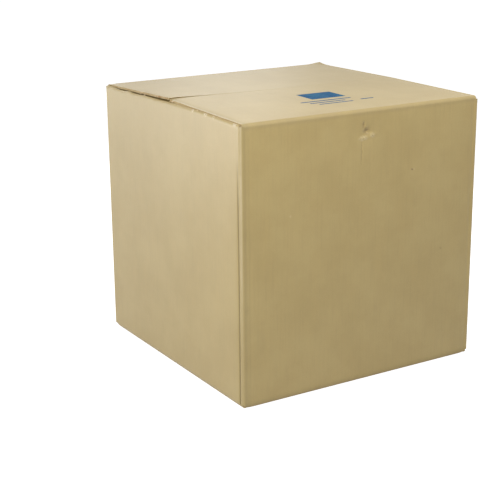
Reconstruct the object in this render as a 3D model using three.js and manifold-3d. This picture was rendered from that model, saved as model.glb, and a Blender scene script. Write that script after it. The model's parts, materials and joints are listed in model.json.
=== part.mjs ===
// A closed cardboard carton: one folded sheet with its glued bottom, and two top flaps that swing open.
// Millimetres, +Z up, X along the top seam, origin on the floor under the middle of the box.
import * as THREE from "three";
import { mergeVertices } from "three/addons/utils/BufferGeometryUtils.js";
import Module from "manifold-3d";

const wasm = await Module();
wasm.setup();

// Outer size of the closed box
const length = 500; // along the seam
const width = 500; // across the seam
const height = 500; // floor to the top of the seam

// Corrugated board
const board = 4; // thickness
const foldRadius = 5; // outside of every fold
const layerGap = 0.3; // between two layers of board that lie on each other

// Flaps
const crown = 8.5; // how far the top flaps stand up at the seam, sprung open a little
const seamGap = 2; // between the edges of two outer flaps
const innerFlapGap = 6; // between the edges of two inner flaps
const slotMargin = 0.5; // flat board between a vertical fold and the side of a flap
const slotOverrun = 1; // how far the slots run past the folds of the inner flaps
const hingeGap = 0.3; // between a top flap and its wall, in the middle of their fold

// Glue tab, inside the back right corner
const tabWidth = 35;
const tabTaper = 12; // how much shorter its free edge is at each end
const jointReveal = 1; // from the cut edge of the back wall to the right face

const roundSteps = 6; // half the straight steps in the round of a fold
const kraft = { color: 0xb49a6c, roughness: 0.9, metalness: 0 };

const innerRadius = foldRadius - board;
const halfLength = length / 2;
const halfWidth = width / 2;
const wallTop = height - crown; // the outer corner of the top folds, where the flaps hinge
const innerLevel = board + layerGap; // from an outer flap's face to the inner flap's face below it
const slotInset = foldRadius + slotMargin; // from a wall's face to the side of a flap next to it
const flapDepth = halfWidth - seamGap / 2;
const flapHalfLength = halfLength - slotInset;
const wallsFrom = innerLevel + foldRadius - slotOverrun; // the slots end here at the bottom
const wallsTo = wallTop - innerLevel - foldRadius + slotOverrun; // and here at the top
const tabFace = halfWidth - board - layerGap; // the tab's glued face, inside the back wall
const lift = Math.asin(crown / flapDepth);

/** Outline of a sheet seen edge on. Its outer face runs through the points of `face`, the board lies to the
 *  left of it, and each inner point is a right-angled fold to the left. */
function sheetOutline(face) {
  const along = face.slice(1).map((point, i) => point.clone().sub(face[i]).normalize());
  const leftOf = (way) => new THREE.Vector2(-way.y, way.x);
  const folds = face.slice(1, -1).map((corner, i) => ({
    start: corner.clone().addScaledVector(along[i], -foldRadius),
    centre: corner.clone().addScaledVector(along[i], -foldRadius).addScaledVector(along[i + 1], foldRadius),
    angle: along[i + 1].clone().negate().angle(),
  }));
  const outline = new THREE.Shape();
  outline.moveTo(face[0].x, face[0].y);
  outline.lineTo(folds[0].start.x, folds[0].start.y);
  for (const { centre, angle } of folds) {
    outline.absarc(centre.x, centre.y, foldRadius, angle, angle + Math.PI / 2, false);
  }
  const end = face.at(-1);
  const innerEnd = end.clone().addScaledVector(leftOf(along.at(-1)), board);
  outline.lineTo(end.x, end.y);
  outline.lineTo(innerEnd.x, innerEnd.y);
  for (const { centre, angle } of folds.toReversed()) {
    outline.absarc(centre.x, centre.y, innerRadius, angle + Math.PI / 2, angle, true);
  }
  const innerStart = face[0].clone().addScaledVector(leftOf(along[0]), board);
  outline.lineTo(innerStart.x, innerStart.y);
  return outline;
}

/** Extrudes a section drawn in the YZ plane along X. */
function alongX(section, from, to) {
  const geometry = extrude(section, to - from);
  const [x, y, z] = [new THREE.Vector3(1, 0, 0), new THREE.Vector3(0, 1, 0), new THREE.Vector3(0, 0, 1)];
  return geometry.applyMatrix4(new THREE.Matrix4().makeBasis(y, z, x)).translate(from, 0, 0);
}

/** Extrudes a section drawn in the XZ plane along Y. */
function alongY(section, from, to) {
  const geometry = extrude(section, to - from);
  const [x, z, back] = [new THREE.Vector3(1, 0, 0), new THREE.Vector3(0, 0, 1), new THREE.Vector3(0, -1, 0)];
  return geometry.applyMatrix4(new THREE.Matrix4().makeBasis(x, z, back)).translate(0, to, 0);
}

/** Extrudes a section drawn in the XY plane along Z. */
function alongZ(section, from, to) {
  return extrude(section, to - from).translate(0, 0, from);
}

function extrude(section, depth) {
  return new THREE.ExtrudeGeometry(section, { depth, bevelEnabled: false, curveSegments: roundSteps });
}

/** Turns a closed geometry into a solid that can be joined to others. */
function solidOf(geometry) {
  const bare = geometry.clone();
  bare.deleteAttribute("normal");
  bare.deleteAttribute("uv");
  const merged = mergeVertices(bare);
  const mesh = new wasm.Mesh({
    numProp: 3,
    vertProperties: new Float32Array(merged.attributes.position.array),
    triVerts: new Uint32Array(merged.index.array),
  });
  return new wasm.Manifold(mesh);
}

function geometryOf(solid) {
  const { vertProperties, triVerts } = solid.getMesh();
  const indexed = new THREE.BufferGeometry();
  indexed.setAttribute("position", new THREE.BufferAttribute(vertProperties, 3));
  indexed.setIndex(new THREE.BufferAttribute(triVerts, 1));
  const faceted = indexed.toNonIndexed();
  faceted.computeVertexNormals();
  return faceted;
}

/** The angle at the centre of a fold that takes up half the hinge gap at this radius. */
const halfGapAngle = (radius) => Math.asin(hingeGap / 2 / radius);
const mitre = (3 * Math.PI) / 4; // a top fold is parted here, half way round it

/** The four walls and the tab as one strip of board, seen from above. */
function wallStrip() {
  const face = [
    new THREE.Vector2(halfLength - jointReveal, halfWidth),
    new THREE.Vector2(-halfLength, halfWidth),
    new THREE.Vector2(-halfLength, -halfWidth),
    new THREE.Vector2(halfLength, -halfWidth),
    new THREE.Vector2(halfLength, tabFace),
    new THREE.Vector2(halfLength - slotInset, tabFace),
  ];
  return alongZ(sheetOutline(face), wallsFrom, wallsTo);
}

/** The glue tab, seen from the front: a plate whose ends taper to its free edge. */
function glueTab() {
  const plate = new THREE.Shape([
    new THREE.Vector2(halfLength - foldRadius, wallsFrom),
    new THREE.Vector2(halfLength - foldRadius, wallsTo),
    new THREE.Vector2(halfLength - tabWidth, wallsTo - tabTaper),
    new THREE.Vector2(halfLength - tabWidth, wallsFrom + tabTaper),
  ]);
  return alongY(plate, tabFace - board, tabFace);
}

/** The front wall with its bottom flap and its half of the top fold. */
function frontSheet() {
  const middle = -halfWidth + foldRadius; // of both folds
  const topMiddle = wallTop - foldRadius;
  const section = new THREE.Shape();
  section.moveTo(-seamGap / 2, 0);
  section.lineTo(middle, 0);
  section.absarc(middle, foldRadius, foldRadius, (3 * Math.PI) / 2, Math.PI, true);
  section.absarc(middle, topMiddle, foldRadius, Math.PI, mitre + halfGapAngle(foldRadius), true);
  section.absarc(middle, topMiddle, innerRadius, mitre + halfGapAngle(innerRadius), Math.PI, false);
  section.absarc(middle, foldRadius, innerRadius, Math.PI, (3 * Math.PI) / 2, false);
  section.lineTo(-seamGap / 2, board);
  return alongX(section, -flapHalfLength, flapHalfLength);
}

/** A side wall on the left, with its inner flaps at the top and the bottom. */
function leftSheet(frontEdge, backEdge) {
  const face = [
    new THREE.Vector2(-innerFlapGap / 2, wallTop - innerLevel),
    new THREE.Vector2(-halfLength, wallTop - innerLevel),
    new THREE.Vector2(-halfLength, innerLevel),
    new THREE.Vector2(-innerFlapGap / 2, innerLevel),
  ];
  return alongY(sheetOutline(face), frontEdge, backEdge);
}

/** A top flap with its half of the fold, flat along +Y from the outer corner of the fold at the origin. */
function topFlap() {
  const section = new THREE.Shape();
  section.moveTo(flapDepth, -board);
  section.lineTo(flapDepth, 0);
  section.absarc(foldRadius, -foldRadius, foldRadius, Math.PI / 2, mitre - halfGapAngle(foldRadius), false);
  section.absarc(foldRadius, -foldRadius, innerRadius, mitre - halfGapAngle(innerRadius), Math.PI / 2, true);
  return alongX(section, -flapHalfLength, flapHalfLength);
}

function carton() {
  const sideFront = -halfWidth + slotInset;
  const pieces = [
    wallStrip(),
    glueTab(),
    frontSheet(),
    frontSheet().rotateZ(Math.PI),
    leftSheet(sideFront, -sideFront),
    leftSheet(-tabFace + slotInset, -sideFront).rotateZ(Math.PI),
  ];
  return geometryOf(pieces.map(solidOf).reduce((whole, piece) => whole.add(piece)));
}

function named(name, geometry) {
  const mesh = new THREE.Mesh(geometry, new THREE.MeshStandardMaterial(kraft));
  mesh.name = name;
  return mesh;
}

/** A top flap at rest on its hinge, a little open. `turn` faces the hinge to its wall. */
function hingedFlap(name, y, turn) {
  const hinge = new THREE.Group();
  const flap = named(name, topFlap());
  flap.rotation.x = lift;
  hinge.position.set(0, y, wallTop);
  hinge.rotation.z = turn;
  hinge.add(flap);
  return hinge;
}

const box = new THREE.Group();
box.add(
  named("box_body", carton()),
  hingedFlap("front_top_flap", -halfWidth, 0),
  hingedFlap("back_top_flap", halfWidth, Math.PI),
);

export default box;
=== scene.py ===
"""The looks of a cardboard carton: folded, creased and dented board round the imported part. Metres, +Z up."""

import json
import math

import bpy
import numpy as np
from mathutils import Matrix, Vector


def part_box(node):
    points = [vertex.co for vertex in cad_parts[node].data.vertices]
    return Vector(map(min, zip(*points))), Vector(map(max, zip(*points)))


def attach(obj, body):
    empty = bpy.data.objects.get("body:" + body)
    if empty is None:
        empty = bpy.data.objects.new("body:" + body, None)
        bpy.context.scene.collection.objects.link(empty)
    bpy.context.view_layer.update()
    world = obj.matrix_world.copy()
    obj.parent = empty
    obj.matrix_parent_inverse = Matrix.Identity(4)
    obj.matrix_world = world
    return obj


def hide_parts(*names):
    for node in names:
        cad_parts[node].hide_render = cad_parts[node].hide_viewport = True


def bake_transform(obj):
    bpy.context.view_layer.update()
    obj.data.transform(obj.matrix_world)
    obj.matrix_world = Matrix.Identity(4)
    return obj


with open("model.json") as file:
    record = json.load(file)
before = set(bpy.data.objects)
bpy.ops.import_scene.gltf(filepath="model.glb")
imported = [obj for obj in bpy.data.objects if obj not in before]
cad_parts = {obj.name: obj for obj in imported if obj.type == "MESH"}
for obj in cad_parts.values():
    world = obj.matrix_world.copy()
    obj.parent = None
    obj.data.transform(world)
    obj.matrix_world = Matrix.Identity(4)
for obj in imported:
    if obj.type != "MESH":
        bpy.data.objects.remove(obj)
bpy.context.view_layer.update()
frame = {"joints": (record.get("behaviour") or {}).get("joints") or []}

# Sizes read from the frame
BODY_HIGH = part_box("box_body")[1]
HALF_LENGTH = BODY_HIGH.x
HALF_WIDTH = BODY_HIGH.y
TOP = frame["joints"][0]["pos_m"][2]  # the outer corner of the folds that the outer top flaps turn on
FLAP_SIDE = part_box("front_top_flap")[1].x  # from the middle of the box to the side of a flap

# The board
BOARD = 0.004
LINER = 0.0005
MEDIUM = 0.0003  # the wavy sheet between the liners
FLUTE = 0.0076  # from one flute to the next
SIDE_RECESS = 0.0005  # how far the liners overhang at a side edge
END_RECESS = 0.0024  # and at the free end of a flap
FOLD = 0.005  # outside radius of a fold
FLAT_FROM = FOLD + 0.0005  # flat board starts this far from a corner
TOP_FOLD = 0.0065  # radius of the folds that the outer top flaps turn on, which are softer
LAYER = BOARD + 0.0003  # an inner flap lies this far below an outer one
TAB = 0.035
REVEAL = 0.001  # the cut edge of the back wall stops this far short of the corner
INK_THICK = 0.00004

# Where the pieces of board meet and end
JOIN = HALF_LENGTH - 0.015  # a corner piece meets the front or back wall here, on flat board
LOW_CUT = 0.012  # above this and below HIGH_CUT a corner piece has its strip of the front or back wall
HIGH_CUT = TOP - 0.0115
SLOT_LOW = 0.0065
SLOT_HIGH = TOP - 0.0065
FLAP_DEPTH = HALF_WIDTH - 0.001
FLAP_END = TOP + FLAP_DEPTH  # the free edge of an outer top flap, along the flat sheet
INNER_DEPTH = HALF_LENGTH - 0.003

# Wear
LEFT_RISE = 0.0083  # of the back top flap's free edge at its left end
RIGHT_RISE = 0.0016
SEAM_STEP = 0.0023  # the front top flap lies this much lower at the left end
CREASE_FAR = 0.0008  # how deep the board is pressed in beside a vertical fold
CREASE_FAR_PLACE = 0.0105  # from the corner to that valley
GROOVE_PLACE = 0.0088  # from the front left corner to the pressed line on the left wall
GROOVE_TOP = 0.455  # the pressed line has faded out at this height
OUTER_BOW = 0.0011  # how far the front and back walls sink in the middle
SIDE_BOW = 0.0008
POKE = 0.0035  # how far the back right corner of the top is pushed up
DENTED_LEFT = -0.03  # the part of the front wall with fine columns of faces, for its dents
DENTED_RIGHT = 0.016

# The crushed spot and small dents of the front wall: place across it and below the top fold, half width and
# height, and depth
DENTS = (
    (0.000, 0.040, 0.0300, 0.0170, 0.0011),
    (0.003, 0.038, 0.0062, 0.0052, 0.0034),
    (-0.004, 0.027, 0.0024, 0.0052, 0.0018),
    (-0.005, 0.049, 0.0080, 0.0026, -0.0011),
    (0.014, 0.045, 0.0046, 0.0036, -0.0010),
    (0.103, 0.117, 0.0024, 0.0024, 0.0014),
    (-0.153, 0.165, 0.0026, 0.0020, 0.0006),
    (0.174, 0.273, 0.0030, 0.0022, 0.0006),
)

# The materials of a sheet, in this order
KRAFT_FACE, CUT_FACE, TORN_FACE, INK_FACE = range(4)


def smooth(x):
    """0 below 0, 1 above 1, smooth between."""
    x = np.clip(x, 0, 1)
    return x * x * (3 - 2 * x)


def hump(x):
    """1 at 0, falling smoothly to 0 at about 2 either way."""
    return np.exp(-np.square(x))


def ripple(c, v, seed):
    """A soft uneven field between about -1 and 1, from a few seeded waves."""
    random = np.random.default_rng(seed)
    total = np.zeros(np.broadcast(c, v).shape)
    for size in (0.31, 0.19, 0.11, 0.07):
        for _ in range(3):
            angle, phase = random.uniform(0, 2 * math.pi, 2)
            along = c * math.cos(angle) + v * math.sin(angle)
            total += size * np.sin(2 * math.pi * along / size + phase)
    return total


def spaced(*stops):
    """Places from the first stop to the last. Each stop is (place, step up to the next stop)."""
    places = []
    for (start, step), (end, _) in zip(stops[:-1], stops[1:]):
        count = max(1, round((end - start) / step))
        places += list(np.linspace(start, end, count, endpoint=False))
    return np.array([*places, stops[-1][0]])


def lines(*parts):
    """All places of the parts in order, each of them once."""
    return np.unique(np.round(np.concatenate(parts), 7))


def around(c, depth, start, end):
    """A wall with folds at its ends, seen from above: (place along it, distance in from its face)."""
    along, inward = c, depth
    for corner, way in ((start, -1), (end, 1)):
        beyond = (c - corner) * way
        turn = np.clip((beyond + FOLD) / (2 * FOLD), 0, 1) * math.pi / 2
        folded = beyond > -FOLD
        radius = FOLD - depth
        along = np.where(folded, corner + way * (radius * np.sin(turn) - FOLD), along)
        past = np.maximum(beyond - FOLD, 0)
        inward = np.where(folded, FOLD - radius * np.cos(turn) + past, inward)
    return along, inward


def up_and_over(v, depth, bottom, top, top_fold, tilt):
    """A wall with its flaps, seen end on: (distance in from its face, height). The top flap rises by tilt."""
    low_turn = np.clip((bottom + FOLD - v) / (2 * FOLD), 0, 1) * math.pi / 2
    low_run = np.maximum(bottom - FOLD - v, 0)
    low_radius = FOLD - depth
    low = v < bottom + FOLD
    high_turn = np.clip((v - top + top_fold) / (2 * top_fold), 0, 1) * (math.pi / 2 - tilt)
    high_run = np.maximum(v - top - top_fold, 0)
    high_radius = top_fold - depth
    high = v > top - top_fold
    low_inward = FOLD - low_radius * np.cos(low_turn) + low_run
    high_inward = top_fold - high_radius * np.cos(high_turn) + high_run * np.cos(tilt)
    inward = np.where(high, high_inward, np.where(low, low_inward, depth))
    low_height = bottom + FOLD - low_radius * np.sin(low_turn)
    high_height = top - top_fold + high_radius * np.sin(high_turn) + high_run * np.sin(tilt)
    height = np.where(high, high_height, np.where(low, low_height, v))
    return inward, height


def turned(along, inward, height, plane, quarters):
    """The point of a wall whose face is `plane` from the middle, so many quarter turns from the front."""
    x, y = along, inward - plane
    for _ in range(quarters):
        x, y = -y, x
    return np.stack([x, y, height], axis=-1)


class Board:
    """Points and faces of one closed piece of board.

    A point is (c, v) on its panel, across and up it, and so deep in the board. `place` gives its place in
    space, and the panel's middle is at `across` on the whole flat sheet.
    """

    def __init__(self, place, across):
        self.place = place
        self.across = across
        self.sheet = []
        self.faces = []
        self.looks = []

    def add(self, c, v, depth):
        """Adds points and returns their numbers."""
        c, v, depth = (np.asarray(x, float) for x in np.broadcast_arrays(c, v, depth))
        first = len(self.sheet)
        self.sheet += list(zip(c.ravel(), v.ravel(), depth.ravel()))
        return first + np.arange(c.size).reshape(c.shape)

    def face(self, corners, look):
        self.faces.append([int(i) for i in corners])
        self.looks.append(look)

    def panel(self, cs, vs, keep):
        """The sheet over a grid of lines where keep(c, v) holds, with a recess in its cut edges."""
        c, v = np.meshgrid(cs, vs, indexing="ij")
        kept = keep((c[:-1, :-1] + c[1:, 1:]) / 2, (v[:-1, :-1] + v[1:, 1:]) / 2)
        outer = self.add(c, v, 0.0)
        inner = self.add(c, v, BOARD)
        edges = []
        for i, j in np.argwhere(kept):
            ring = [(i, j), (i + 1, j), (i + 1, j + 1), (i, j + 1)]
            self.face([outer[k] for k in ring], KRAFT_FACE)
            self.face([inner[k] for k in reversed(ring)], KRAFT_FACE)
            for side, (di, dj) in enumerate(((0, -1), (1, 0), (0, 1), (-1, 0))):
                ni, nj = i + di, j + dj
                in_grid = 0 <= ni < kept.shape[0] and 0 <= nj < kept.shape[1]
                if not in_grid or not kept[ni, nj]:
                    edges.append((ring[side], ring[(side + 1) % 4], (-di, -dj)))
        self.rims(c, v, outer, inner, edges)

    def rims(self, c, v, outer, inner, edges):
        """The cut edges of a panel. Each edge is (corner, corner, the way in from it)."""
        inwards = {}
        for a, b, way in edges:
            inwards.setdefault(a, set()).add(way)
            inwards.setdefault(b, set()).add(way)
        rims = {}
        for (i, j), ways in inwards.items():
            ci, vj = c[i, j], v[i, j]
            di, dj = (sum(way[k] for way in ways) for k in (0, 1))
            inside = (ci + di * SIDE_RECESS, vj + dj * END_RECESS)
            steps = [
                (ci, vj, LINER),
                (*inside, LINER),
                (*inside, BOARD - LINER),
                (ci, vj, BOARD - LINER),
            ]
            rims[i, j] = [outer[i, j], *(int(self.add(*step)) for step in steps), inner[i, j]]
        for a, b, _ in edges:
            for near, far in zip(range(5), range(1, 6)):
                self.face([rims[b][near], rims[a][near], rims[a][far], rims[b][far]], CUT_FACE)

    def flutes(self, from_c, to_c, edge, way):
        """The wavy medium along a flap's edge. `way` is 1 for a top flap and -1 for a bottom one."""
        steps_per_flute = 10
        back_from_edge = 0.0004
        thicker_on_slopes = 0.6
        count = round((to_c - from_c) / FLUTE * steps_per_flute)
        c = np.linspace(from_c + SIDE_RECESS, to_c - SIDE_RECESS, count)
        wave = np.sin(2 * math.pi * c / FLUTE)
        slope = np.abs(np.cos(2 * math.pi * c / FLUTE))
        middle = BOARD / 2 + (BOARD / 2 - LINER - MEDIUM / 2) * wave
        half = MEDIUM / 2 * (1 + thicker_on_slopes * slope)
        out = edge - way * back_from_edge
        back = edge - way * END_RECESS * 1.2
        corners = [
            self.add(c, out, middle - half),
            self.add(c, out, middle + half),
            self.add(c, back, middle + half),
            self.add(c, back, middle - half),
        ]
        for k in range(4):
            a, b = corners[k], corners[(k + 1) % 4]
            for i in range(count - 1):
                self.face([a[i], a[i + 1], b[i + 1], b[i]], CUT_FACE)
        self.face([corner[0] for corner in corners], CUT_FACE)
        self.face([corner[-1] for corner in reversed(corners)], CUT_FACE)

    def torn_bits(self, edge, from_v, to_v, count, seed):
        """Small curled bits of torn liner along the side edge of a flap."""
        random = np.random.default_rng(seed)
        overlap = 0.0004  # with the board
        for v in random.uniform(from_v, to_v, count):
            reach, half, deep = random.uniform((0.0022, 0.0016, 0.0002), (0.0048, 0.0050, 0.0026))
            droop, skew = random.uniform((-0.0014, -0.0040), (0.0026, 0.0040))
            rings = []
            for share in (0.0, 0.35, 0.7, 1.0):
                c = edge + math.copysign(reach * share - overlap, edge)
                top = deep + droop * share ** 2
                narrow = half * (1 - 0.7 * share)
                near = v + skew * share - narrow
                far = v + skew * share + narrow
                depths = (top, top, top + MEDIUM, top + MEDIUM)
                rings.append(self.add(c, (near, far, far, near), depths))
            for first, second in zip(rings[:-1], rings[1:]):
                for k in range(4):
                    after = (k + 1) % 4
                    self.face([first[k], first[after], second[after], second[k]], TORN_FACE)
            self.face(rings[0][::-1], TORN_FACE)
            self.face(rings[-1], TORN_FACE)

    def inked(self, left, right, low, high):
        """A thin layer of ink on the outer face of the sheet, over a rectangle of it."""
        step = 0.008
        c, v = np.meshgrid(spaced((left, step), (right, 0)), spaced((low, step), (high, 0)), indexing="ij")
        over = self.add(c, v, -INK_THICK)
        under = self.add(c, v, INK_THICK)
        across, up = c.shape
        for i in range(across - 1):
            for j in range(up - 1):
                ring = [(i, j), (i + 1, j), (i + 1, j + 1), (i, j + 1)]
                self.face([over[k] for k in ring], INK_FACE)
                self.face([under[k] for k in reversed(ring)], INK_FACE)
        rim = [(i, 0) for i in range(across)]
        rim += [(across - 1, j) for j in range(1, up)]
        rim += [(i, up - 1) for i in range(across - 2, -1, -1)]
        rim += [(0, j) for j in range(up - 2, 0, -1)]
        for a, b in zip(rim, rim[1:] + rim[:1]):
            self.face([over[b], over[a], under[a], under[b]], INK_FACE)

    def make(self, name, materials):
        """The mesh object. Its attribute sheet keeps each point's place on the flat sheet, for materials."""
        sheet = np.array(self.sheet)
        used = np.unique(np.concatenate([np.array(face) for face in self.faces]))
        new = np.full(len(sheet), -1)
        new[used] = np.arange(len(used))
        sheet = sheet[used]
        points = self.place(sheet[:, 0], sheet[:, 1], sheet[:, 2])
        faces = [[int(new[i]) for i in face] for face in self.faces]
        mesh = bpy.data.meshes.new(name)
        mesh.from_pydata(points.tolist(), [], faces)
        attribute = mesh.attributes.new("sheet", "FLOAT_VECTOR", "POINT")
        on_sheet = sheet + (self.across, 0, 0)
        attribute.data.foreach_set("vector", on_sheet.astype(np.float32).ravel())
        mesh.polygons.foreach_set("material_index", np.array(self.looks, np.int32))
        for material in materials:
            mesh.materials.append(material)
        mesh.update()
        mesh.shade_smooth()
        mesh.set_sharp_from_angle(angle=math.radians(32))
        made = bpy.data.objects.new(name, mesh)
        bpy.context.scene.collection.objects.link(made)
        return made


# Rows of the walls, fine where the front wall is dented
WALL_ROWS = spaced((LOW_CUT, 0.009), (0.39, 0.005), (0.43, 0.0014), (HIGH_CUT, 0))


def rows(bottom, top, depth):
    """Lines across a wall and its flaps, from one flap's edge to the other's."""
    start = bottom - depth
    end = top + depth
    below = spaced(
        (start, 0.003),
        (start + 0.009, 0.011),
        (bottom - FOLD - 0.004, 0.002),
        (bottom - FOLD, 0.00125),
        (bottom + FOLD, 0.002),
        (LOW_CUT, 0),
    )
    above = spaced(
        (HIGH_CUT, 0.002),
        (top - TOP_FOLD, 0.0008),
        (top + TOP_FOLD, 0.002),
        (top + TOP_FOLD + 0.012, 0.009),
        (end - 0.012, 0.003),
        (end, 0),
    )
    return lines(below, WALL_ROWS, above, [SLOT_LOW, SLOT_HIGH])


def corner_crease(beyond, v, groove, late):
    """How far the scored lines beside a vertical fold sink the board. `beyond` runs past the corner.

    The line on the near side is `groove` deep at the foot, and has faded out at the height `late`.
    """
    strength = smooth((late - v) / 0.22)
    across = beyond + GROOVE_PLACE
    sharp = 0.9 * hump(across / 0.0013)
    soft = 0.3 * hump(across / 0.0040)
    far = CREASE_FAR * hump((beyond - CREASE_FAR_PLACE) / 0.0045)
    return groove * strength * (sharp + soft) + far


def front_dents(x, z):
    """The crushed spot under the top edge of the front wall, the line below it and the small dents."""
    below = TOP - z
    total = np.zeros(np.broadcast(x, z).shape)
    for at_x, at_below, wide, tall, deep in DENTS:
        total += deep * hump((x - at_x) / wide) * hump((below - at_below) / tall)
    line = smooth((below - 0.052) / 0.006) * smooth((0.097 - below) / 0.008)
    return total + 0.0008 * line * hump((x + 0.0075) / 0.0013)


def back_dents(x, z):
    """The back wall isn't in the photo and is only a little uneven."""
    return 0.0004 * ripple(x, z, 5)


def back_rise(x):
    """How far the back top flap's free edge stands above its fold: most at the left end."""
    share = np.clip((x + FLAP_SIDE) / (2 * FLAP_SIDE), 0, 1)
    return RIGHT_RISE + (LEFT_RISE - RIGHT_RISE) * np.exp(-3.2 * share)


def front_rise(x):
    """The front top flap lies a little lower than the back one at the left end."""
    return back_rise(x) - SEAM_STEP * np.exp(-(x + FLAP_SIDE) / 0.05)


def seam_stretch(x, v):
    """How much further a top flap reaches than its cut line, so that the seam is open only at the left."""
    tight = smooth((x + FLAP_SIDE - 0.02) / 0.09)
    return 0.0008 * tight * smooth((v - TOP - 0.14) / 0.1)


def outer_wall(c, v, depth, quarters, dents, rise):
    """The front or back wall with its outer flaps, in the front wall's own directions."""
    x = c if quarters == 0 else -c
    flat = (v > FOLD) & (v < TOP - FOLD)
    across = np.cos(math.pi * np.clip(c / (2 * JOIN), -0.5, 0.5))
    bow = OUTER_BOW * across * np.sin(math.pi * np.clip(v / TOP, 0, 1))
    creased = corner_crease(HALF_LENGTH - np.abs(c), v, 0.0, 0.4)
    sunk = np.maximum(np.where(flat, bow + dents(c, v), 0.0) + creased, 0.0)
    tilt = np.arcsin(rise(x) / FLAP_DEPTH)
    stretched = v + seam_stretch(x, v)
    inward, height = up_and_over(stretched, depth + sunk, 0.0, TOP, TOP_FOLD, tilt)
    return turned(c, inward, height, HALF_WIDTH, quarters)


def place_front(c, v, depth):
    return outer_wall(c, v, depth, 0, front_dents, front_rise)


def place_back(c, v, depth):
    """The back wall and its flap, whose right corner is pushed up a little."""
    points = outer_wall(c, v, depth, 2, back_dents, back_rise)
    poked = hump((points[:, 0] - FLAP_SIDE) / 0.016) * hump((points[:, 1] - HALF_WIDTH) / 0.02)
    points[:, 2] += POKE * poked * smooth((points[:, 2] - 0.45) / 0.03)
    return points


def place_side(c, v, depth, quarters, end, grooves):
    """A side wall with its inner flaps and the folds at its ends. `end` is the corner at its far end."""
    start = -HALF_WIDTH
    bow = SIDE_BOW * np.cos(math.pi * c / (2 * HALF_WIDTH)) * np.sin(math.pi * np.clip(v / TOP, 0, 1))
    on_wall = (v > LAYER + FOLD) & (v < TOP - LAYER - FOLD) & (c > start) & (c < end)
    end_crease = corner_crease(c - end, v, grooves[1], GROOVE_TOP)
    start_crease = corner_crease(start - c, v, grooves[0], GROOVE_TOP)
    sunk = np.where(on_wall, bow, 0.0) + end_crease + start_crease
    deep = depth + np.where((v > SLOT_LOW) & (v < SLOT_HIGH), sunk, 0.0)
    along, inward = around(c, deep, start, end)
    over, height = up_and_over(v, deep, LAYER, TOP - LAYER, FOLD, 0.0)
    in_panel = (c >= start + FOLD) & (c <= end - FOLD)
    inward = np.where(in_panel, over, inward)
    height = np.where(in_panel, height, v)
    return turned(along, inward, height, HALF_LENGTH, quarters)


def left_arch(c):
    """How far the left wall's top fold is pushed up: to the front top flap, and not quite to the back one."""
    share = np.clip(np.abs(c) / FLAP_DEPTH, 0, 1)
    arch = (LEFT_RISE - SEAM_STEP) * (1 - share) ** np.where(c > 0, 1.0, 1.35)
    uneven = 0.0003 * smooth(-c / 0.02) * (1 + 0.6 * ripple(c, 0 * c, 3))
    return np.maximum(arch - 0.0007 * hump(c / 0.02) - uneven, 0)


def left_ridge(c):
    """How far the round of the left wall's top fold stands up above its arch."""
    ends = 0.0034 * smooth(c / 0.13) + 0.0026 * smooth((-c - 0.18) / 0.05)
    bumps = 0.0030 * hump((c + 0.150) / 0.010) + 0.0014 * hump((c + 0.085) / 0.022)
    return 0.0006 + ends + bumps


def place_left(c, v, depth):
    """The left wall, whose top fold is arched and uneven."""
    points = place_side(c, v, depth, 3, HALF_WIDTH, (0.0003, 0.0030))
    near_top = smooth((v - 0.36) / 0.12) * smooth((TOP + HALF_LENGTH - v) / 0.2)
    round_fold = np.clip((v - TOP + LAYER + FOLD) / (2 * FOLD), 0, 1)
    points[:, 2] += left_arch(c) * near_top
    points[:, 2] += left_ridge(c) * np.sin(math.pi * round_fold)
    return points


def place_right(c, v, depth):
    return place_side(c, v, depth, 1, HALF_WIDTH - LAYER, (0.0003, 0.0002))


def kept_outer(left_end, right_end):
    """Cells of a front or back sheet: full width in the flaps and folds, between the two ends elsewhere."""
    def keep(c, v):
        wide = (np.abs(c) < FLAP_SIDE) & ((v < LOW_CUT) | (v > HIGH_CUT))
        wall = (c > left_end) & (c < right_end) & (v > LOW_CUT) & (v < HIGH_CUT)
        return wide | wall
    return keep


def kept_side(start, end, start_reach, end_reach):
    """Cells of a side sheet: the wall with its flaps, its corners, and a strip of the next wall past each."""
    def keep(c, v):
        panel = (c > start + FLAT_FROM) & (c < end - FLAT_FROM)
        before, after = start - c, c - end
        corner = (before < FLAT_FROM) & (after < FLAT_FROM) & (v > SLOT_LOW) & (v < SLOT_HIGH)
        strip = (before < start_reach) & (after < end_reach) & (v > LOW_CUT) & (v < HIGH_CUT)
        return panel | corner | strip
    return keep


def outer_sheet(name, place, across, left_end, right_end, torn, printed):
    """The front or back wall with its outer flaps, its torn bits of liner and its print."""
    board = Board(place, across)
    for bits in torn:
        board.torn_bits(*bits)
    for area in printed:
        board.inked(*area)
    ends = sorted({-FLAP_SIDE, FLAP_SIDE, left_end, right_end})
    left = spaced((ends[0], 0.0016), (-JOIN, 0.009), (DENTED_LEFT, 0.0013))
    dented = spaced((DENTED_LEFT, 0.0013), (DENTED_RIGHT, 0))
    right = spaced((DENTED_RIGHT, 0.009), (JOIN, 0.0016), (ends[-1], 0))
    columns = lines(left, dented, right, ends)
    board.panel(columns, rows(0.0, TOP, FLAP_DEPTH), kept_outer(left_end, right_end))
    board.flutes(-FLAP_SIDE, FLAP_SIDE, -FLAP_DEPTH, -1)
    board.flutes(-FLAP_SIDE, FLAP_SIDE, FLAP_END, 1)
    return board.make(name, (KRAFT_BOARD, CUT_BOARD, TORN_BOARD, BLUE_INK))


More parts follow.
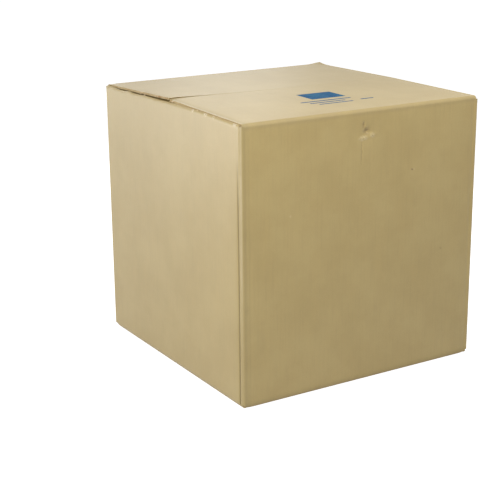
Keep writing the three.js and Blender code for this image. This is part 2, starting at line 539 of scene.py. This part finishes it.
def side_sheet(name, place, across, end, end_reach):
    """A side wall with its inner flaps, both folded corners, and the strips past them."""
    board = Board(place, across)
    start = -HALF_WIDTH
    start_reach = HALF_LENGTH - JOIN
    near_fold = 0.014  # columns are fine this far either side of a corner
    step = 0.00055
    start_fold = spaced((start - near_fold, step), (start + near_fold, 0))
    middle = spaced((start + near_fold, 0.0098), (end - near_fold, 0))
    end_fold = spaced((end - near_fold, step), (end + near_fold, 0))
    far = spaced((end + near_fold, 0.004), (end + end_reach, 0))
    ends = [start - start_reach, end + end_reach]
    ends += [corner + way * FLAT_FROM for corner in (start, end) for way in (-1, 1)]
    columns = lines(start_fold, middle, end_fold, far, ends)
    slack = 1e-6
    columns = columns[(columns >= start - start_reach - slack) & (columns <= end + end_reach + slack)]
    kept = kept_side(start, end, start_reach, end_reach)
    board.panel(columns, rows(LAYER, TOP - LAYER, INNER_DEPTH), kept)
    board.flutes(start + FLAT_FROM, end - FLAT_FROM, LAYER - INNER_DEPTH, -1)
    board.flutes(start + FLAT_FROM, end - FLAT_FROM, TOP - LAYER + INNER_DEPTH, 1)
    return board.make(name, (KRAFT_BOARD, CUT_BOARD))


# Materials

KRAFT_DULL = (0.432, 0.322, 0.126, 1)
KRAFT_CLEAR = (0.473, 0.360, 0.148, 1)
KRAFT_WARM = (0.53, 0.378, 0.145, 1)
KRAFT_PALE = (0.60, 0.475, 0.23, 1)
KRAFT_FLECK = (0.22, 0.145, 0.065, 1)
KRAFT_SHADE = (0.30, 0.215, 0.10, 1)
# A pale kraft for the worn upright folds, which also serves as a painted highlight on them
KRAFT_WORN_HIGHLIGHT = (0.70, 0.60, 0.40, 1)
KRAFT_BARE = (0.82, 0.74, 0.56, 1)
# A darker kraft, painted on the level folds as shade
KRAFT_FOLD_SHADE = (0.355, 0.28, 0.15, 1)
CUT_DARK = (0.46, 0.345, 0.17, 1)
CUT_LIGHT = (0.64, 0.51, 0.29, 1)
CUT_PALE = (0.66, 0.54, 0.33, 1)
TORN_BROWN = (0.46, 0.24, 0.075, 1)
TORN_PALE = (0.74, 0.58, 0.36, 1)
INK = (0.006, 0.085, 0.21, 1)
INK_THIN = (0.02, 0.13, 0.25, 1)
PALE = (0.62, 0.51, 0.29, 1)
DARK = (0.20, 0.13, 0.055, 1)
# The colour of the painted shade in the pressed line beside the front corner
PAINTED_CREASE_SHADE = (0.19, 0.155, 0.08, 1)
ROUGH_LOW = 0.36
ROUGH_HIGH = 0.47

# Small marks on the sheet: place across and up it, half width and height, colour and strength. The front wall
# is about 0 across, the left wall about -0.5
MARKS = (
    (0.0035, TOP - 0.0385, 0.0085, 0.0075, DARK, 0.60),
    (-0.0040, TOP - 0.0270, 0.0034, 0.0075, DARK, 0.45),
    (-0.0050, TOP - 0.0495, 0.0125, 0.0060, PALE, 0.85),
    (0.0145, TOP - 0.0460, 0.0070, 0.0060, PALE, 0.75),
    (-0.0075, TOP - 0.0740, 0.0018, 0.0250, DARK, 0.32),
    (0.1030, TOP - 0.1170, 0.0034, 0.0026, DARK, 0.80),
    (0.1075, TOP - 0.1165, 0.0022, 0.0024, PALE, 0.80),
    (-0.1530, TOP - 0.1650, 0.0034, 0.0024, PALE, 0.6),
    (0.1740, TOP - 0.2730, 0.0040, 0.0030, DARK, 0.35),
    (-0.2390, TOP - 0.3150, 0.0070, 0.0110, DARK, 0.20),
    (-0.4050, TOP - 0.0040, 0.0050, 0.0045, KRAFT_BARE, 1.0),
    (-0.3620, TOP - 0.0040, 0.0080, 0.0045, KRAFT_BARE, 1.0),
    (-0.3350, TOP - 0.0040, 0.0045, 0.0045, KRAFT_BARE, 1.0),
    (-0.2680, TOP - 0.0040, 0.0080, 0.0045, KRAFT_BARE, 0.9),
)


class Nodes:
    """Short ways to build a node tree."""

    def __init__(self, tree):
        self.tree = tree
        tree.nodes.clear()

    def new(self, kind, inputs=None, **settings):
        made = self.tree.nodes.new(kind)
        for name, value in settings.items():
            setattr(made, name, value)
        for key, value in (inputs or {}).items():
            self.feed(made.inputs[key], value)
        return made

    def feed(self, socket, value):
        """Links the socket to another one, or sets its value."""
        if isinstance(value, bpy.types.NodeSocket):
            self.tree.links.new(value, socket)
        else:
            socket.default_value = value

    def math(self, operation, a, b=0.0, clamp=False):
        return self.new("ShaderNodeMath", {0: a, 1: b}, operation=operation, use_clamp=clamp).outputs[0]

    def times(self, a, b):
        return self.math("MULTIPLY", a, b)

    def from_line(self, value, place):
        """How far a value is from a place, either way."""
        return self.math("ABSOLUTE", self.math("SUBTRACT", value, place))

    def noise(self, vector, scale, detail=3.0, roughness=0.55):
        inputs = {"Vector": vector, "Scale": scale, "Detail": detail, "Roughness": roughness}
        return self.new("ShaderNodeTexNoise", inputs).outputs["Fac"]

    def span(self, value, low, high, out_low=0.0, out_high=1.0):
        """The value from low to high, made to run smoothly from out_low to out_high."""
        inputs = {"Value": value, "From Min": low, "From Max": high, "To Min": out_low, "To Max": out_high}
        return self.new("ShaderNodeMapRange", inputs, interpolation_type="SMOOTHSTEP").outputs[0]

    def mix(self, share, a, b):
        """Colour a with this share of colour b."""
        made = self.new("ShaderNodeMix", data_type="RGBA")
        for key, value in (("Factor_Float", share), ("A_Color", a), ("B_Color", b)):
            self.feed(next(s for s in made.inputs if s.identifier == key), value)
        return next(s for s in made.outputs if s.identifier == "Result_Color")

    def scaled(self, vector, scale):
        return self.new("ShaderNodeMapping", {"Vector": vector, "Scale": scale}).outputs[0]

    def sheet_place(self):
        """The place on the flat sheet: across the flutes, along them, and so deep in the board."""
        return self.new("ShaderNodeAttribute", attribute_name="sheet").outputs["Vector"]

    def across_and_along(self, place):
        parts = self.new("ShaderNodeSeparateXYZ", {0: place}).outputs
        return parts[0], parts[1]

    def flute_wave(self, across):
        """A wave over the flutes, from -1 to 1."""
        return self.math("SINE", self.times(across, 2 * math.pi / FLUTE))

    def surface(self, colour, rough, height, bump, gloss):
        """The shader of a material, with its relief `height` in metres at the strength `bump`."""
        relief = self.new("ShaderNodeBump", {"Height": height, "Strength": bump, "Distance": 1.0}).outputs[0]
        inputs = {"Base Color": colour, "Roughness": rough, "Normal": relief, "Specular IOR Level": gloss}
        shader = self.new("ShaderNodeBsdfPrincipled", inputs)
        self.new("ShaderNodeOutputMaterial", {"Surface": shader.outputs[0]})


def new_material(name):
    material = bpy.data.materials.new(name)
    material.use_nodes = True
    return material, Nodes(material.node_tree)


def spot_mask(nodes, across, along, at_across, at_along, wide, tall):
    """1 in the middle of an oval on the sheet, fading to 0 at its rim."""
    x = nodes.times(nodes.math("SUBTRACT", across, at_across), 1 / wide)
    y = nodes.times(nodes.math("SUBTRACT", along, at_along), 1 / tall)
    far = nodes.math("ADD", nodes.times(x, x), nodes.times(y, y))
    return nodes.span(far, 1.0, 0.0)


def specks(nodes, place, scale, size):
    """1 on sparse small spots: one in some of the cells of a loose net."""
    cell = nodes.new("ShaderNodeTexVoronoi", {"Vector": place, "Scale": scale, "Randomness": 1.0})
    chosen = nodes.new("ShaderNodeSeparateColor", {0: cell.outputs["Color"]})
    inside = nodes.math("LESS_THAN", cell.outputs["Distance"], nodes.times(chosen.outputs[1], size))
    return nodes.times(inside, nodes.math("GREATER_THAN", chosen.outputs[0], 0.45))


def crease_shade(nodes, across, along):
    """Painted shade in the pressed line on the left wall beside the front corner, and a little in the valley.
    """
    in_line = nodes.span(nodes.from_line(across, -HALF_LENGTH - GROOVE_PLACE), 0.0034, 0.0006)
    fading = nodes.span(along, GROOVE_TOP, 0.35, 0.0, 0.62)
    in_valley = nodes.span(nodes.from_line(across, 0.0110 - HALF_LENGTH), 0.009, 0.002, 0.0, 0.12)
    return nodes.math("MAXIMUM", nodes.times(in_line, fading), in_valley)


def near_corner(nodes, across, along):
    """1 on the upright folds of the sheet, fading to 0 beside them, and weaker towards the foot: where the
    folds are worn and have a painted highlight.
    """
    from_corner = nodes.math("PINGPONG", nodes.math("SUBTRACT", across, HALF_LENGTH), HALF_LENGTH)
    on_wall = nodes.times(nodes.span(along, TOP, TOP - 0.002), nodes.span(along, 0.02, 0.42, 0.25, 1.0))
    return nodes.times(nodes.span(from_corner, 0.0044, 0.0010), on_wall)


def near_level_fold(nodes, across, along):
    """1 on the folds round the top and the foot of the front and right walls, fading to 0 beside them: where
    painted shade goes and the paper is rougher.
    """
    from_top = nodes.from_line(along, TOP - LAYER / 2)
    from_foot = nodes.from_line(along, LAYER / 2)
    level = nodes.span(nodes.math("MINIMUM", from_top, from_foot), 0.0120, 0.0025)
    return nodes.times(level, nodes.span(across, -HALF_LENGTH - 0.001, -HALF_LENGTH + 0.001))


def kraft_board():
    """Kraft liner: mottled brown paper with fibres, faint flutes, streaks, painted shade on the level folds
    and in a pressed line, worn upright folds with a painted highlight, and small marks.
    """
    material, nodes = new_material("kraft_board")
    place = nodes.sheet_place()
    across, along = nodes.across_and_along(place)
    clouds = nodes.noise(place, 9.0, 4.0, 0.6)
    patches = nodes.noise(nodes.scaled(place, (1.0, 0.35, 1.0)), 42.0, 4.0, 0.6)
    pulp = nodes.noise(nodes.scaled(place, (0.45, 1.0, 1.0)), 900.0, 3.0, 0.65)
    flecks = nodes.noise(nodes.scaled(place, (0.3, 1.0, 1.0)), 1900.0, 2.0, 0.6)
    streaks = nodes.noise(nodes.scaled(place, (1.0, 0.035, 1.0)), 330.0, 3.0, 0.6)
    torn_rim = nodes.noise(place, 330.0, 3.0, 0.7)
    wave = nodes.flute_wave(across)
    shaded_fold = near_level_fold(nodes, across, along)
    worn_and_highlight = near_corner(nodes, across, along)
    dark_specks = specks(nodes, place, 13.0, 0.030)
    pale_specks = specks(nodes, nodes.scaled(place, (1.3, 0.22, 1.0)), 17.0, 0.022)
    layers = [
        (nodes.span(patches, 0.3, 0.75, 0.0, 0.16), KRAFT_WARM),
        (nodes.span(pulp, 0.38, 0.72, 0.0, 0.16), KRAFT_PALE),
        (nodes.span(flecks, 0.63, 0.72, 0.0, 0.42), KRAFT_FLECK),
        (nodes.span(wave, -1.0, 1.0, 0.0, 0.02), KRAFT_SHADE),
        # Painted shade on the folds round the top and foot of the front and right walls
        (nodes.times(shaded_fold, nodes.span(patches, 0.3, 0.7, 0.22, 0.45)), KRAFT_FOLD_SHADE),
        # Worn paper on the upright folds, made paler as a painted highlight
        (nodes.times(worn_and_highlight, nodes.span(patches, 0.3, 0.7, 0.35, 0.6)), KRAFT_WORN_HIGHLIGHT),
        (nodes.span(streaks, 0.48, 0.72, 0.0, 0.11), KRAFT_SHADE),
        (nodes.times(dark_specks, 0.5), DARK),
        (nodes.times(pale_specks, 0.55), PALE),
        # Painted shade in the pressed line and the valley beside the front corner
        (crease_shade(nodes, across, along), PAINTED_CREASE_SHADE),
    ]
    uneven = nodes.span(torn_rim, 0.38, 0.6)
    for *oval, shade, strength in MARKS:
        mask = nodes.times(spot_mask(nodes, across, along, *oval), uneven)
        layers.append((nodes.times(mask, strength), shade))
    colour = nodes.mix(nodes.span(clouds, 0.35, 0.68), KRAFT_DULL, KRAFT_CLEAR)
    for share, shade in layers:
        colour = nodes.mix(share, colour, shade)
    smooth_paper = nodes.span(pulp, 0.3, 0.75, ROUGH_LOW, ROUGH_HIGH)
    rough = nodes.math("ADD", smooth_paper, nodes.times(shaded_fold, 0.3), clamp=True)
    height = nodes.math("ADD", nodes.times(pulp, 0.00012), nodes.times(wave, 0.000012))
    nodes.surface(colour, rough, height, 0.6, 0.5)
    return material


def cut_board():
    """The cut edge of the board: darker, with the grain of torn liner."""
    material, nodes = new_material("cut_board")
    place = nodes.sheet_place()
    grain = nodes.noise(nodes.scaled(place, (1.0, 1.0, 4.0)), 1300.0, 4.0, 0.7)
    clouds = nodes.noise(place, 60.0, 3.0, 0.6)
    colour = nodes.mix(nodes.span(grain, 0.3, 0.7), CUT_DARK, CUT_LIGHT)
    colour = nodes.mix(nodes.span(clouds, 0.4, 0.7, 0.0, 0.5), colour, CUT_PALE)
    rough = nodes.span(grain, 0.3, 0.7, 0.8, 0.95)
    nodes.surface(colour, rough, nodes.times(grain, 0.0002), 0.7, 0.2)
    return material


def torn_board():
    """Bits of liner torn off an edge: orange-brown, with pale fibres."""
    material, nodes = new_material("torn_board")
    place = nodes.sheet_place()
    fibres = nodes.noise(nodes.scaled(place, (0.3, 1.0, 1.0)), 700.0, 3.0, 0.65)
    patches = nodes.noise(place, 170.0, 2.0, 0.5)
    colour = nodes.mix(nodes.span(patches, 0.40, 0.56), TORN_BROWN, TORN_PALE)
    colour = nodes.mix(nodes.span(fibres, 0.45, 0.7, 0.0, 0.4), colour, KRAFT_BARE)
    rough = nodes.span(fibres, 0.3, 0.7, 0.75, 0.95)
    nodes.surface(colour, rough, nodes.times(fibres, 0.0002), 0.7, 0.2)
    return material


def blue_ink():
    """Flat printing ink, thinner over the hollows between the flutes and where the paper is rough."""
    material, nodes = new_material("blue_ink")
    place = nodes.sheet_place()
    across, _ = nodes.across_and_along(place)
    grain = nodes.noise(place, 1500.0, 2.0, 0.7)
    clouds = nodes.noise(nodes.scaled(place, (1.0, 0.4, 1.0)), 60.0, 3.0, 0.6)
    over_flutes = nodes.span(nodes.flute_wave(across), -1.0, 0.2, 0.93, 1.0)
    cover = nodes.times(nodes.span(grain, 0.30, 0.42, 0.8, 1.0), over_flutes)
    ink = nodes.mix(nodes.span(clouds, 0.35, 0.7), INK, INK_THIN)
    colour = nodes.mix(cover, KRAFT_CLEAR, ink)
    rough = nodes.span(grain, 0.3, 0.7, 0.70, 0.85)
    nodes.surface(colour, rough, nodes.times(grain, 0.00006), 0.6, 0.1)
    return material


# The blue print on the front top flap, a solid bar over plain rules: left, right, low and high on the sheet
PRINT = (
    (-0.026, 0.046, TOP + 0.124, TOP + 0.176),
    (-0.062, 0.044, TOP + 0.104, TOP + 0.109),
    (-0.052, 0.022, TOP + 0.090, TOP + 0.0945),
    (-0.042, 0.030, TOP + 0.0765, TOP + 0.081),
    (0.050, 0.078, TOP + 0.082, TOP + 0.087),
)

# Torn bits of liner at the left end of the seam: side edge, from and to along the flap, how many, and seed
FRONT_TORN = (
    (-FLAP_SIDE, FLAP_END - 0.21, FLAP_END - 0.004, 5, 4),
)
BACK_TORN = (
    (FLAP_SIDE, FLAP_END - 0.050, FLAP_END - 0.004, 10, 8),
    (FLAP_SIDE, FLAP_END - 0.20, FLAP_END - 0.06, 5, 9),
)

# Middles of the walls on the flat sheet
FRONT_ACROSS = 0.0
LEFT_ACROSS = -HALF_LENGTH - HALF_WIDTH
RIGHT_ACROSS = HALF_LENGTH + HALF_WIDTH
BACK_ACROSS = -2 * HALF_LENGTH - 2 * HALF_WIDTH

KRAFT_BOARD = kraft_board()
CUT_BOARD = cut_board()
TORN_BOARD = torn_board()
BLUE_INK = blue_ink()

front_sheet = outer_sheet("front_sheet", place_front, FRONT_ACROSS, -JOIN, JOIN, FRONT_TORN, PRINT)
back_sheet = outer_sheet("back_sheet", place_back, BACK_ACROSS, REVEAL - HALF_LENGTH, JOIN, BACK_TORN, ())
left_sheet = side_sheet("left_sheet", place_left, LEFT_ACROSS, HALF_WIDTH, HALF_LENGTH - JOIN)
right_sheet = side_sheet("right_sheet", place_right, RIGHT_ACROSS, HALF_WIDTH - LAYER, TAB)

for side in (left_sheet, right_sheet):
    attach(side, "carton")
    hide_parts("box_body")
for sheet, flap, node, way in (
    (front_sheet, "front_flap", "front_top_flap", 1),
    (back_sheet, "back_flap", "back_top_flap", -1),
):
    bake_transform(sheet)
    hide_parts(node, "box_body")


# Stage, light and camera

FLOOR_HALF = 30.0
FLOOR_BELOW = 0.0004  # under the foot of the box
FLOOR_GREY = 0.55
FLOOR_GLOW = 0.89  # brings the lit floor to white
AMBIENT = 0.29

# Name, place, what it is aimed at, width across and power of each lamp
LAMPS = (
    ("left_near", (-1.15, -0.75, 0.85), (-0.25, -0.22, 0.40), 0.5, 8.8),
    ("left_low", (-1.25, 1.15, 0.30), (-0.25, -0.15, 0.40), 0.4, 5.8),
    ("behind_right", (0.60, 1.25, 0.90), (-0.1, -0.1, 0.5), 0.5, 0.75),
    ("behind", (0.10, 1.50, 1.10), (-0.1, -0.1, 0.5), 0.5, 1.6),
    ("overhead", (-0.3, -0.3, 2.3), (0, 0, 0.5), 1.2, 4.2),
    ("front_top", (0.2, -0.75, 1.3), (0, -0.25, 0.5), 0.7, 7.1),
    ("right_fill", (1.7, 0.3, 0.6), (0.25, 0, 0.25), 0.8, 7.0),
    ("back_fill", (-0.3, 1.9, 0.45), (0, 0.25, 0.25), 0.8, 9.0),
)

# The camera looks at a point beside the middle of the box, as the photograph does
LENS = 88.4
AZIMUTH, ELEVATION, ROLL = (math.radians(angle) for angle in (-31.4, 16.73, -0.497))
DISTANCE = 2.3467
BOX_MIDDLE = Vector((0, 0, 0.25))
ASIDE = (-0.0679, -0.0666)  # of the middle of the picture from the middle of the box, right and up


def seen_directly(nodes):
    """1 for rays that the camera, a gloss or a clear surface sees, and 0 for light that falls on things."""
    path = nodes.new("ShaderNodeLightPath").outputs
    seen = nodes.math("MAXIMUM", path["Is Camera Ray"], path["Is Glossy Ray"])
    return nodes.math("MAXIMUM", seen, path["Is Transmission Ray"])


def white_ground():
    """A pale floor that is white where it is lit, and keeps the shadow of the box."""
    mesh = bpy.data.meshes.new("floor")
    corners = [(x * FLOOR_HALF, y * FLOOR_HALF, 0) for x, y in ((-1, -1), (1, -1), (1, 1), (-1, 1))]
    mesh.from_pydata(corners, [], [(0, 1, 2, 3)])
    floor = bpy.data.objects.new("floor", mesh)
    floor.location.z = -FLOOR_BELOW
    bpy.context.scene.collection.objects.link(floor)
    material, nodes = new_material("floor")
    matt = nodes.new("ShaderNodeBsdfDiffuse", {"Color": (FLOOR_GREY, FLOOR_GREY, FLOOR_GREY, 1)})
    strength = nodes.times(seen_directly(nodes), FLOOR_GLOW)
    glow = nodes.new("ShaderNodeEmission", {"Color": (1, 1, 1, 1), "Strength": strength})
    both = nodes.new("ShaderNodeAddShader", {0: matt.outputs[0], 1: glow.outputs[0]})
    nodes.new("ShaderNodeOutputMaterial", {"Surface": both.outputs[0]})
    mesh.materials.append(material)


def white_world():
    """White behind the box, and an even pale light from all round it."""
    world = bpy.data.worlds.new("studio")
    world.use_nodes = True
    nodes = Nodes(world.node_tree)
    level = nodes.span(seen_directly(nodes), 0.0, 1.0, AMBIENT, 1.0)
    light = nodes.new("ShaderNodeBackground", {"Color": (1, 1, 1, 1), "Strength": level})
    nodes.new("ShaderNodeOutputWorld", {"Surface": light.outputs[0]})
    bpy.context.scene.world = world


def lamp(name, place, aim, size, power):
    """A round lamp that the camera doesn't see."""
    light = bpy.data.lights.new(name, "AREA")
    light.shape = "DISK"
    light.size = size
    light.energy = power
    made = bpy.data.objects.new(name, light)
    made.visible_camera = False
    made.location = place
    made.rotation_mode = "QUATERNION"
    made.rotation_quaternion = (Vector(aim) - Vector(place)).to_track_quat("-Z", "Y")
    bpy.context.scene.collection.objects.link(made)


def add_camera():
    """The camera, turned by its azimuth and elevation round the box and by its roll."""
    level = math.cos(ELEVATION)
    back = Vector((math.sin(AZIMUTH) * level, -math.cos(AZIMUTH) * level, math.sin(ELEVATION)))
    level_right = (-back).cross(Vector((0, 0, 1))).normalized()
    level_up = level_right.cross(-back)
    right = level_right * math.cos(ROLL) + level_up * math.sin(ROLL)
    up = level_up * math.cos(ROLL) - level_right * math.sin(ROLL)
    target = BOX_MIDDLE + right * ASIDE[0] + up * ASIDE[1]
    data = bpy.data.cameras.new("camera")
    data.lens = LENS
    camera = bpy.data.objects.new("camera", data)
    turn = Matrix((right, up, back)).transposed().to_4x4()
    camera.matrix_world = Matrix.Translation(target + back * DISTANCE) @ turn
    bpy.context.scene.collection.objects.link(camera)
    bpy.context.scene.camera = camera


white_ground()
white_world()
for settings in LAMPS:
    lamp(*settings)
add_camera()
bpy.context.scene.view_settings.view_transform = "Standard"

bpy.context.view_layer.update()
